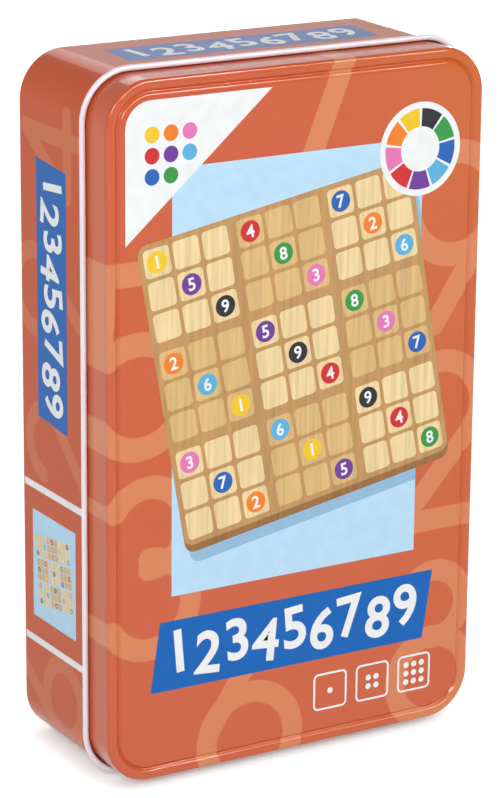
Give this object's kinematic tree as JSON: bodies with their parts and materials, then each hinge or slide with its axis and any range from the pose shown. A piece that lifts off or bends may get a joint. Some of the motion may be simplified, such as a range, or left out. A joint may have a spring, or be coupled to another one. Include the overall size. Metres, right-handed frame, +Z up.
{
  "type": "travel sudoku set",
  "caption": "Printed metal tin with a lift-off lid, holding a sudoku board of magnetic wooden sections with numbered pegs in its holes.",
  "frame": {"origin": "middle of the closed tin's outline on the surface that it stands on", "axes": "+Z up along the tin's long side, -Y out of the lid's face, +X to the right seen from the lid"},
  "size_m": [0.1204, 0.048, 0.1976],
  "materials": {
    "tin_print": "gloss print",
    "lid_print": "gloss print",
    "tin_back": "gloss print",
    "tray_sheet": "satin",
    "board_wood": "satin varnish",
    "magnet_metal": "polished",
    "peg_paint_1": "gloss paint",
    "peg_paint_2": "gloss paint",
    "peg_paint_3": "gloss paint",
    "peg_paint_4": "gloss paint",
    "peg_paint_5": "gloss paint",
    "peg_paint_6": "gloss paint",
    "peg_paint_7": "gloss paint",
    "peg_paint_8": "gloss paint",
    "peg_paint_9": "gloss paint"
  },
  "bodies": {
    "tin": {"tin_wall": "tin_print", "back_panel": "tin_back"},
    "tray": {"tray": "tray_sheet"},
    "lower_boards": {"board_left": "board_wood", "board_middle": "board_wood", "magnets_left": "magnet_metal", "magnets_middle": "magnet_metal"},
    "left_pegs": {"pegs_left_1": "peg_paint_1", "pegs_left_2": "peg_paint_2", "pegs_left_3": "peg_paint_3", "pegs_left_4": "peg_paint_4", "pegs_left_5": "peg_paint_5", "pegs_left_6": "peg_paint_6", "pegs_left_7": "peg_paint_7", "pegs_left_8": "peg_paint_8", "pegs_left_9": "peg_paint_9"},
    "middle_pegs": {"pegs_middle_1": "peg_paint_1", "pegs_middle_2": "peg_paint_2", "pegs_middle_3": "peg_paint_3", "pegs_middle_4": "peg_paint_4", "pegs_middle_5": "peg_paint_5", "pegs_middle_6": "peg_paint_6", "pegs_middle_7": "peg_paint_7", "pegs_middle_8": "peg_paint_8", "pegs_middle_9": "peg_paint_9"},
    "upper_board": {"board_right": "board_wood", "magnets_right": "magnet_metal"},
    "upper_pegs": {"pegs_right_1": "peg_paint_1", "pegs_right_2": "peg_paint_2", "pegs_right_3": "peg_paint_3", "pegs_right_4": "peg_paint_4", "pegs_right_5": "peg_paint_5", "pegs_right_6": "peg_paint_6", "pegs_right_7": "peg_paint_7", "pegs_right_8": "peg_paint_8", "pegs_right_9": "peg_paint_9"},
    "lid": {"lid": "lid_print"}
  },
  "joints": [
    {"name": "tray_lift", "type": "slide", "parent": "tin", "child": "tray", "axis": [0, -1, 0], "range_m": [0, 0.05]},
    {"name": "lower_boards_lift", "type": "slide", "parent": "tray", "child": "lower_boards", "axis": [0, -1, 0], "range_m": [0, 0.05]},
    {"name": "middle_pegs_lift", "type": "slide", "parent": "lower_boards", "child": "middle_pegs", "axis": [0, -1, 0], "range_m": [0, 0.02]},
    {"name": "left_pegs_lift", "type": "slide", "parent": "lower_boards", "child": "left_pegs", "axis": [0, -1, 0], "range_m": [0, 0.012]},
    {"name": "upper_board_lift", "type": "slide", "parent": "left_pegs", "child": "upper_board", "axis": [0, -1, 0], "range_m": [0, 0.045]},
    {"name": "upper_pegs_lift", "type": "slide", "parent": "upper_board", "child": "upper_pegs", "axis": [0, -1, 0], "range_m": [0, 0.009]},
    {"name": "lid_lift", "type": "slide", "parent": "upper_board", "child": "lid", "axis": [0, -1, 0], "range_m": [0, 0.12]}
  ]
}
